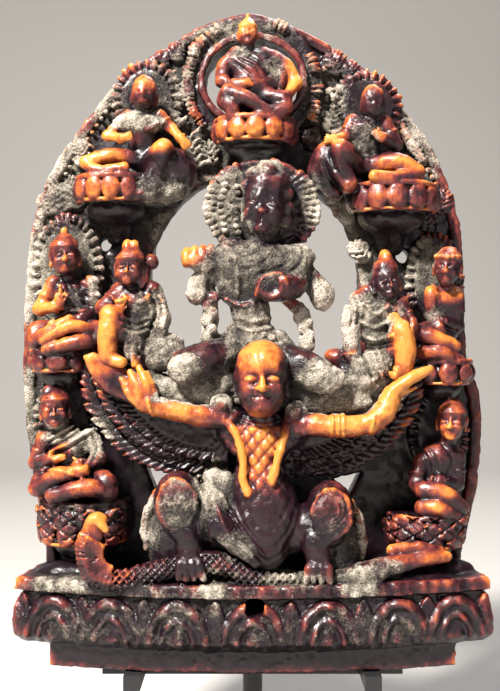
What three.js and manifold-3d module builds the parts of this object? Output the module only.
// A pierced ivory relief of a crowned deity riding on a winged bird-man, inside an arched
// frame of seated figures on lotus seats, held on a black metal stand.
// Millimetres, +Z up, +Y away from the viewer. The origin is under the middle of the stand's foot.
import * as THREE from "three";
import { mergeVertices } from "three/addons/utils/BufferGeometryUtils.js";
import Module from "manifold-3d";

const wasm = await Module();
wasm.setup();

// Driving dimensions of the stand.
const FOOT = { width: 62, depth: 54, height: 8, corner: 5, chamfer: 1 };
const ROD_RADIUS = 2.1;
const CRADLE = { length: 64, depth: 5, thickness: 3, armGap: 49, armWidth: 3.4, armReach: 11.5 };
const STAND_HEIGHT = 34;
const GAP = 0.3;

// Driving dimensions of the ivory. Heights are measured from its own underside.
const BASE = { half: 50, backHalf: 45.5, front: -15, sag: 8, back: 13, top: 18.5, underside: 4.5 };
const TENON = { half: 42.3, front: -12, sag: 5, back: 9 };
const PLATE = { front: 6, back: 12, foot: 12 };
const ARCH = { x: 0.5, z: 82, radius: 23.2, bottom: 56 };
// Each petal steps forward twice: [half width, height, how far it stands out].
const PETAL = { pitch: 14.6, steps: [[7.1, 10.6, 1.6], [3.4, 6.6, 2.4]] };
const DRILL_RADIUS = 1.5;

const v3 = (x, y, z) => new THREE.Vector3(x, y, z);

// Closed geometry to a manifold solid, turned the right way out.
function solid(geometry) {
  for (const extra of ["normal", "uv"]) geometry.deleteAttribute(extra);
  const merged = mergeVertices(geometry, 1e-4);
  const build = (triVerts) =>
    new wasm.Manifold(
      new wasm.Mesh({ numProp: 3, vertProperties: merged.attributes.position.array, triVerts }),
    );
  const made = build(new Uint32Array(merged.index.array));
  return made.volume() > 0 ? made : build(new Uint32Array(merged.index.array).reverse());
}

// A closed skin through rings that all have the same number of points. It ends flat, or at a last point.
function loft(rings, last) {
  const sides = rings[0].length;
  const points = rings.flat();
  const faces = [];
  for (let r = 0; r + 1 < rings.length; r++)
    for (let s = 0; s < sides; s++) {
      const a = r * sides + s;
      const b = r * sides + ((s + 1) % sides);
      faces.push(a, b, b + sides, a, b + sides, a + sides);
    }
  for (const [first, turned] of [[0, true], [points.length - sides, false]]) {
    const tip = points.length;
    const ring = points.slice(first, first + sides);
    const middle = ring.reduce((sum, p) => sum.add(p), v3(0, 0, 0)).divideScalar(sides);
    points.push(last && !turned ? last : middle);
    for (let s = 0; s < sides; s++) {
      const a = first + s;
      const b = first + ((s + 1) % sides);
      faces.push(...(turned ? [b, a, tip] : [a, b, tip]));
    }
  }
  return solid(new THREE.BufferGeometry().setFromPoints(points).setIndex(faces));
}

// An ellipsoid.
function ball(centre, radii, [around, high] = [7, 5]) {
  const g = new THREE.SphereGeometry(1, around, high);
  g.rotateX(Math.PI / 2).scale(...radii).translate(...centre);
  return solid(g);
}

// A tube of changing radius through points, flat at its hidden start and blunt at its end.
function limb(points, radii, sides = 5) {
  const p = points.map((q) => (q.isVector3 ? q : v3(...q)));
  const rings = [];
  const start = p[0].clone().sub(p[1]).normalize();
  let across = v3(0, 1, 0.2).cross(start);
  if (across.length() < 0.3) across = v3(1, 0, 0.2).cross(start);
  const ring = (centre, along, radius) => {
    const side = across.clone().addScaledVector(along, -across.dot(along)).normalize();
    across = side;
    const up = side.clone().cross(along);
    rings.push(
      Array.from({ length: sides }, (_, s) => {
        const a = (s / sides) * 2 * Math.PI;
        const out = side.clone().multiplyScalar(Math.cos(a)).addScaledVector(up, Math.sin(a));
        return centre.clone().addScaledVector(out, radius);
      }),
    );
  };
  const end = p.at(-1).clone().sub(p.at(-2)).normalize();
  p.forEach((centre, i) => {
    const before = p[Math.max(i - 1, 0)];
    const after = p[Math.min(i + 1, p.length - 1)];
    ring(centre, after.clone().sub(before).normalize(), radii[i]);
  });
  return loft(rings, p.at(-1).clone().addScaledVector(end, radii.at(-1) * 0.8));
}

// Level ellipses one above another: each row is [x, y, z, half width, half depth].
function stack(rows, sides = 6) {
  return loft(
    rows.map(([x, y, z, half, deep]) =>
      Array.from({ length: sides }, (_, s) => {
        const a = ((s + 0.5) / sides) * 2 * Math.PI;
        return v3(x + half * Math.cos(a), y + deep * Math.sin(a), z);
      }),
    ),
  );
}

// A flat outline in X and Z, made thick between two depths.
function slab(outline, front, back, holes = []) {
  const flat = (points) => points.map(([x, z]) => new THREE.Vector2(x, z));
  const shape = new THREE.Shape(flat(outline));
  for (const hole of holes) shape.holes.push(new THREE.Path(flat(hole)));
  const g = new THREE.ExtrudeGeometry(shape, { depth: back - front, bevelEnabled: false });
  g.rotateX(Math.PI / 2).translate(0, back, 0);
  return solid(g);
}

const ellipse = (x, z, half, high, count) =>
  Array.from({ length: count }, (_, i) => {
    const a = (i / count) * 2 * Math.PI;
    return [x + half * Math.cos(a), z + high * Math.sin(a)];
  });

// A smooth outline through [x, z] points.
function smooth(points, count) {
  const through = points.map(([x, z]) => v3(x, z, 0));
  const curve = new THREE.CatmullRomCurve3(through, false, "centripetal");
  return curve.getPoints(count).map((p) => [p.x, p.y]);
}

const join = (solids) => solids.reduce((sum, s) => sum.add(s));

// The arched back plate, pierced by the great opening, the upper hole, two gaps and the drilled holes.
function backPlate() {
  const left = [
    [-45.4, PLATE.foot], [-46, 23], [-49, 41], [-50.6, 57], [-50.4, 74], [-49.4, 89], [-46, 102.5],
    [-37, 116.5], [-28, 126.5], [-19.6, 132.6], [-10, 138],
  ];
  const right = [
    [45.4, PLATE.foot], [46.4, 21.6], [49.4, 34], [50.6, 48], [50, 57], [47.4, 64], [46.8, 80], [45.6, 95],
    [40, 110], [32, 120.5], [22.6, 129.5], [10, 137],
  ];
  const flank = (points) => smooth([...points, [0, 140.4]], 13);
  const outline = [...flank(right), ...flank(left).slice(0, -1).reverse()];
  const { x, z, radius, bottom } = ARCH;
  const arch = ellipse(x, z, radius, radius, 24).filter(([, high]) => high > z - 0.01);
  return slab(outline, PLATE.front, PLATE.back, [
    [...arch, [x - radius - 0.6, bottom], [x + radius + 0.6, bottom]],
    ellipse(0, 124.8, 10.4, 8.9, 14),
    ellipse(-32.8, 89.2, DRILL_RADIUS, DRILL_RADIUS, 8),
    ellipse(33.4, 86.6, DRILL_RADIUS, DRILL_RADIUS, 8),
    ellipse(37.8, 79.6, 1.1, 2.9, 8),
    [[-24.4, 41.8], [-21.6, 34.4], [-17, 39]],
    [[17.8, 37], [21.6, 33.6], [24, 38.4]],
  ]);
}

// The plan of the base: a bowed front, sides drawn in towards the back, and a flat back.
function plan(z, half, backHalf, front, sag, back, inset) {
  const steps = 8;
  const ring = [];
  for (let i = 0; i <= steps; i++) {
    const t = (2 * i) / steps - 1;
    ring.push(v3(t * (half - inset), front + inset + sag * t ** 2, z));
  }
  ring.push(v3(backHalf - inset, back, z), v3(-backHalf + inset, back, z));
  return ring;
}

// The lotus base: a rounded band with a row of double petals, over a plain tenon.
function base() {
  const { half, backHalf, front, sag, back, top, underside } = BASE;
  const band = [[underside, 3.2], [6.4, 1.2], [14.6, 0.9], [15.6, 1.6], [16.4, 0], [top, 0.6]];
  const tenonRing = (z) =>
    plan(z, TENON.half, TENON.half - 2, TENON.front, TENON.sag, TENON.back, 0);
  const parts = [
    loft(band.map(([z, inset]) => plan(z, half, backHalf, front, sag, back, inset))),
    loft([tenonRing(0), tenonRing(underside + 1)]),
  ];
  const petal = (x, y, turn) => {
    for (const [width, height, front] of PETAL.steps) {
      const arc = ellipse(0, 0, width, height, 10).filter(([, z]) => z > -0.01);
      parts.push(slab(arc, -front, 3).rotate([0, 0, turn]).translate([x, y, underside + 1]));
    }
  };
  for (let i = -3; i <= 3; i++) {
    const t = (i * PETAL.pitch) / half;
    const turn = Math.atan((2 * sag * t) / half);
    petal(i * PETAL.pitch * 0.98, front + sag * t ** 2 + 1, THREE.MathUtils.radToDeg(turn));
  }
  for (const m of [-1, 1]) petal(m * (half - 2), 4, m * 80);
  return join(parts);
}

// A lotus seat: a bowl of petals under a flat top, over a corbel that runs back into the plate.
function lotus({ x, y, top, half, deep, height, drop, petals = 6 }) {
  const rows = [[1, 0.93], [0.7, 1], [0.1, 0.8]];
  const around = petals * 2;
  const bowl = loft(
    rows.map(([up, out]) =>
      Array.from({ length: around }, (_, s) => {
        const a = (s / around) * 2 * Math.PI;
        const lobe = s % 2 === 0 && up < 1 ? out * 0.92 : out;
        const [across, back] = [half * lobe * Math.cos(a), deep * lobe * Math.sin(a)];
        return v3(x + across, y + back, top - height * (1 - up));
      }),
    ),
  );
  const low = top - height;
  const corbel = stack([
    [x, y, low + 1, half * 0.72, deep * 0.72],
    [x, y + 1, low - drop * 0.3, half * 0.66, deep * 0.6],
    [x, PLATE.front + 1, low - drop, half * 0.5, 2],
  ]);
  return bowl.add(corbel);
}

// Limbs of each pose, for a figure 24 mm high from seat to crown: joints as [across, deep, up].
const POSES = {
  ease: {
    legs: [
      [[-2, -0.5, 2.6], [-13, -2.6, 2.8], [-4, -5.8, 2.2]],
      [[2, -0.5, 3], [5.4, -4.6, 8], [4.4, -5.4, 0.8]],
    ],
    arms: [
      [[-4.3, 0, 14.2], [-8, -1.4, 9.4], [-2.8, -4, 10.2]],
      [[4.3, 0, 14.2], [8.2, -1.2, 12], [10, -4, 7]],
    ],
  },
  crossed: {
    legs: [
      [[-2, -0.5, 2.6], [-7.6, -3, 2.8], [2, -6.2, 1.8]],
      [[2, -0.5, 3], [7.6, -3.4, 4.2], [-2.2, -6, 3.6]],
    ],
    arms: [
      [[-4.4, 0, 14.2], [-6.8, -1.6, 8.8], [-1.4, -4.6, 10.6]],
      [[4.4, 0, 14.2], [6.6, -1, 9], [2.4, -4.6, 7]],
    ],
  },
  kneel: {
    legs: [
      [[-2, 0, 4.4], [-4.8, -4.4, 11], [-5, -4.2, 4.6], [-3.6, -6, 0.8]],
      [[2, 0, 4.4], [8, -3, 3.6], [4, 1, 1.4]],
    ],
    arms: [
      [[-4.4, 0, 14.4], [-6.4, -2, 11.4], [-1.6, -4.4, 13]],
      [[4.4, 0, 14.4], [6, -0.6, 9.6], [5.4, -2.2, 4.2]],
    ],
  },
};

// One small figure: trunk, head with its hair or crown, two arms and two legs.
function figure({ x, y, z, height, pose, mirror = 1, turn = 0, crown = 1.6 }) {
  const { legs, arms } = POSES[pose];
  const turned = (joints) => joints.map(([across, deep, up]) => [across * mirror, deep, up]);
  const parts = [
    stack([
      [0, 0, 0.6, 5, 3.4], [0, 0, 7, 3.4, 2.6], [0, -0.4, 12, 4.8, 3], [0, -0.2, 14.6, 4.6, 2.4],
      [0, -1, 15.6, 2, 2], [0, -1.4, 18.8, 3.3, 3.4],
      [0, -1, 22.6, 2.6, 2.6], [0, -0.6, 23.2 + crown, 1, 1],
    ]),
    ...legs.map((joints) => limb(turned(joints), joints.map((_, i) => (i ? 2.2 : 2.6)))),
    ...arms.map((joints) => limb(turned(joints), [2.1, 1.8, 1.7])),
  ];
  const k = height / 24;
  return join(parts).scale([k, k, k]).rotate([0, 0, turn]).translate([x, y, z]);
}

// An upright oval nimbus that thickens the plate behind a figure.
function nimbus(x, z, half, high, front, count = 12) {
  return slab(ellipse(x, z, half, high, count), front, PLATE.front + 1);
}

// The frame's seven seated figures, each on its lotus. x and z are the middle of the seat's top, half its
// half width, tall its height, and drop how far its corbel runs down; shift moves the figure along it.
const SEATS = [
  { x: 0.6, z: 115.2, half: 9.2, tall: 4.6, drop: 4, height: 21.5, pose: "crossed" },
  { x: -29.6, z: 102.8, half: 8.8, tall: 5, drop: 7, height: 20.4, pose: "ease", shift: 6 },
  { x: 30.4, z: 101.2, half: 10, tall: 5.4, drop: 7, height: 20, pose: "ease", mirror: -1, shift: -6.4 },
  { x: -41, z: 65.6, half: 7, tall: 4, drop: 7, height: 24.4, pose: "crossed", turn: 22 },
  { x: 41, z: 63.6, half: 6.4, tall: 4.6, drop: 7, height: 23.6, pose: "crossed", mirror: -1, turn: -32 },
  { x: -35, z: 33.6, half: 9.8, tall: 8.6, drop: 7, height: 24, pose: "crossed", turn: 8, shift: -3.6 },
  { x: 37, z: 30.6, half: 8.4, tall: 6.4, drop: 7, height: 23.6, pose: "crossed", mirror: -1, turn: -30,
    shift: 3.4 },
];

function frameFigures() {
  return SEATS.flatMap(({ x, z, half, tall, drop, height, pose, mirror, turn, shift = 0 }) => [
    lotus({ x, y: 1, top: z, half, deep: 8, height: tall, drop }),
    figure({ x: x + shift, y: 1, z: z - 0.4, height, pose, mirror, turn }),
  ]);
}

// Rings and nimbuses carved on the plate behind the figures.
function nimbuses() {
  const hole = ellipse(0, 124.8, 10.4, 8.9, 14);
  return [
    slab(ellipse(0, 124.8, 14.4, 13, 16), 3.6, PLATE.front + 1, [hole]),
    nimbus(-23.6, 118.4, 8.4, 8.6, 4),
    nimbus(24.6, 116.8, 8.4, 8.6, 4),
    nimbus(-40.6, 83, 8, 12.6, 4.2),
    nimbus(40, 80.6, 6.4, 11, 4.2),
  ];
}

// The riding deity: halo, trunk and crowned head, broken arms, hanging scarves, knees to either side
// and the curved seat under them.
function deity() {
  const parts = [
    slab(ellipse(2, 96, 12.2, 10.4, 16), -3, 1.6),
    stack([
      [0.4, -6, 56, 7.6, 5], [0.4, -6, 67, 7.2, 4.6], [-0.6, -6, 71.6, 3.8, 3], [-0.2, -6.4, 77, 7.6, 4],
      [0.8, -6, 86.4, 9, 3.6], [2, -6, 88.4, 2.8, 2.6], [3, -6.8, 89.4, 3.6, 4], [3.4, -6.4, 94, 5.3, 5.2],
      [3.4, -5.6, 99, 4.8, 4.6], [3.2, -4.6, 103.6, 3.6, 3.4], [3, -4, 106.4, 1.4, 1.4],
    ], 8),
    ball([-4.4, -1.6, 95], [4, 2.4, 8.8]),
    limb([[-5, -5, 84], [-9.6, -6, 85], [-12, -7.4, 84.6]], [3, 3, 2.6]),
    limb([[-7, -4, 84], [-11, -5.4, 79.6], [-11.6, -6, 77.4]], [2.8, 2.6, 2.4]),
    limb([[7.4, -5, 83], [8, -9, 79.4], [3.6, -10.6, 78.6]], [3.2, 3.4, 3.2]),
    limb([[8, -4, 82], [12.4, -4.4, 79], [14, -5.4, 78]], [3, 2.8, 2.8]),
    limb([[-8.8, -4, 82], [-8.8, -5, 74], [-8.6, -5, 66], [-7, -6, 60]], [1.6, 1.6, 1.6, 1.8]),
    limb([[7.6, -4, 77], [11.4, -4, 72], [11.6, -5, 66], [9.4, -6, 60]], [1.6, 1.5, 1.5, 1.8]),
    limb([[-3, -5, 63], [-9, -9, 64.4], [-13.4, -12, 62.6]], [3.8, 3.8, 3.6], 6),
    limb([[3.4, -5, 62], [9, -9, 61.6], [14.6, -12, 60.2]], [3.8, 3.6, 3.4], 6),
  ];
  for (const m of [-1, 1]) {
    const seat = [[m * 4, -5, 57], [m * 14, -6.4, 56.6], [m * 23, -5, 58.8], [m * 30, -3, 62]];
    parts.push(limb(seat, [3.4, 3.4, 3, 2.6]));
  }
  return parts;
}

// One spread wing: an inner field and an outer row of long feathers, as two steps.
function wing(m) {
  const upper = m < 0 ? 65 : 63;
  const outer = smooth([[5, 38], [18, 39.6], [26, 43], [32, 48.6], [35.6, 55], [36.4, upper]], 10);
  const inner = smooth([[5, 42], [18, 43.4], [25, 47], [30.4, 52.6], [34.4, upper - 2]], 8);
  const whole = (edge) => [...edge, [26, 56.6], [5, 51]].map(([x, z]) => [x * m, z]);
  return [slab(whole(outer), -4.6, 7), slab(whole(inner), -6.6, 0)];
}

// The bird-man who carries the deity, squatting with arms and wings spread.
function birdMan() {
  const leftArm = [
    [-4, -8.6, 50.6], [-15.6, -10.6, 52.8], [-21.4, -10.6, 55], [-24.4, -9.6, 60.4], [-25.6, -9, 63],
  ];
  const rightArm = [
    [7, -8.6, 49.6], [18.6, -10.4, 49.8], [25, -10.6, 51.4], [28.8, -9.6, 57], [31.4, -9, 60.6],
  ];
  const parts = [
    stack([
      [2.2, -6, 19, 5, 5], [2.4, -8, 24, 7.6, 6.6], [2.4, -8.8, 30, 8.2, 7], [1.8, -8.6, 36, 6.6, 5.6],
      [1.6, -8.6, 41, 7, 5], [1.8, -8.2, 50.6, 10, 4.4], [1.8, -11, 52.4, 3.6, 3.8], [1.8, -12, 55, 4.4, 4.4],
      [1.8, -11.6, 60, 5.6, 5.2], [1.8, -10.8, 65, 4.8, 4.6], [1.8, -9.6, 68, 2.2, 2],
    ], 8),
    ball([2, -6, 60], [6.4, 4, 8.4]),
    limb(leftArm, [2.6, 2.3, 2.1, 2.6, 1.4], 6),
    limb(rightArm, [2.8, 2.4, 2.2, 2.6, 1.4], 6),
    ball([-4.6, -9, 54.6], [2.6, 2.2, 2.4], [6, 4]),
    ball([8.4, -9, 53.6], [2.6, 2.4, 2.4], [6, 4]),
  ];
  for (const [m, kneeX, kneeZ] of [[-1, -14.6, 35.4], [1, 15.8, 32.6]]) {
    const legX = kneeX + m * 1.6;
    const footX = kneeX + 1.4;
    const shin = [[kneeX, -9, kneeZ - 2], [kneeX + 1, -11.4, 26], [footX, -11, 20], [footX, -12.8, 19.4]];
    parts.push(
      stack([[legX, -4, 17.5, 5.8, 6], [legX, -4.4, 27, 5, 5.4], [kneeX + m * 0.6, -5, kneeZ + 4, 3.4, 4]]),
      limb([[m * 4 + 1, -6, 27], [kneeX, -8, kneeZ - 2]], [4.6, 4.4], 7),
      ball([kneeX, -9.4, kneeZ], [4.4, 4.4, 5.4]),
      limb(shin, [3, 2.4, 2.6, 1.8]),
      ...wing(m),
    );
  }
  return parts;
}

// The two serpents that lie along the base under the bird-man's feet; the left one rears its hood.
function serpents() {
  const left = [
    [8, -11.4, 19.4], [0, -11.8, 19.4], [-8, -11.4, 21.4], [-20, -10.8, 21],
    [-28.4, -11.2, 19.6], [-32.6, -11.4, 23], [-33.2, -11, 27.4], [-31, -11.6, 31],
  ];
  const right = [[14, -11, 20.6], [22, -10.6, 20.4], [29, -9.6, 21.8], [36, -8.6, 23.6], [40.4, -7.6, 23.6]];
  return [
    limb(left, [1, 1.6, 2, 2.1, 2.2, 2.4, 2.6, 1.4]),
    limb(right, [1.8, 2, 2, 1.9, 1.4]),
  ];
}

// The two attendants who kneel on the wings.
function attendants() {
  return [
    figure({ x: -25.4, y: -4.6, z: 61.4, height: 25, pose: "kneel", crown: 2.4 }),
    figure({ x: 27.6, y: -4.6, z: 60, height: 23.6, pose: "kneel", mirror: -1, crown: 2.8 }),
  ];
}

// The whole carving as one solid, drilled through the middle of its base. Only sealed pockets between
// overlapping forms may drop out of it.
function carving() {
  const all = join([
    base(), backPlate(), ...nimbuses(), ...frameFigures(), ...deity(), ...birdMan(), ...serpents(),
    ...attendants(),
  ]);
  const drill = new THREE.CylinderGeometry(2, 2, 60, 10).translate(0.4, 0, BASE.top - 4.6);
  const bodies = all.subtract(solid(drill)).decompose().sort((a, b) => b.volume() - a.volume());
  if (bodies.length > 1 && bodies[1].volume() > 1) throw new Error("a form stands apart from the carving");
  return bodies[0];
}

// The stand's foot: a plate with round corners and a small chamfer.
function foot() {
  const { width, depth, height, corner, chamfer } = FOOT;
  const ring = (z, inset) =>
    Array.from({ length: 16 }, (_, i) => {
      const quarter = Math.floor(i / 4);
      const a = ((quarter + (i % 4) / 3) * Math.PI) / 2;
      const sx = quarter === 0 || quarter === 3 ? 1 : -1;
      const sy = quarter < 2 ? 1 : -1;
      const r = corner - inset;
      return v3(sx * (width / 2 - corner) + r * Math.cos(a), sy * (depth / 2 - corner) + r * Math.sin(a), z);
    });
  return loft([ring(0, 0), ring(height - chamfer, 0), ring(height, chamfer)]);
}

// The cradle: a rod brazed under a cross bar with two arms that reach forward under the ivory.
function cradle() {
  const { length, depth, thickness, armGap, armWidth, armReach } = CRADLE;
  const box = (w, d, h, x, y, z) => solid(new THREE.BoxGeometry(w, d, h).translate(x, y, z));
  const middle = STAND_HEIGHT - thickness / 2;
  const low = FOOT.height + GAP;
  const rod = new THREE.CylinderGeometry(ROD_RADIUS, ROD_RADIUS, middle - low, 12);
  rod.rotateX(Math.PI / 2).translate(0, 0, (middle + low) / 2);
  const armDeep = armReach + depth / 2;
  return join([
    solid(rod),
    box(length, depth, thickness, 0, 0, middle),
    ...[-1, 1].map((m) => box(armWidth, armDeep, thickness, (m * armGap) / 2, -armReach / 2, middle)),
  ]);
}

// A named mesh of a solid.
function mesh(name, made, material) {
  const { vertProperties, triVerts, numProp } = made.getMesh();
  const geometry = new THREE.BufferGeometry();
  geometry.setAttribute("position", new THREE.BufferAttribute(vertProperties, numProp));
  geometry.setIndex(new THREE.BufferAttribute(triVerts, 1));
  geometry.computeVertexNormals();
  const m = new THREE.Mesh(geometry, material);
  m.name = name;
  return m;
}

const ivory = new THREE.MeshStandardMaterial({ color: 0x8a5a34, roughness: 0.45, metalness: 0 });
const blackSteel = new THREE.MeshStandardMaterial({ color: 0x17171a, roughness: 0.55, metalness: 0.3 });

const part = new THREE.Group();
const relief = mesh("ivory_relief", carving(), ivory);
relief.position.z = STAND_HEIGHT + GAP;
part.add(relief, mesh("stand_cradle", cradle(), blackSteel), mesh("stand_foot", foot(), blackSteel));
export default part;
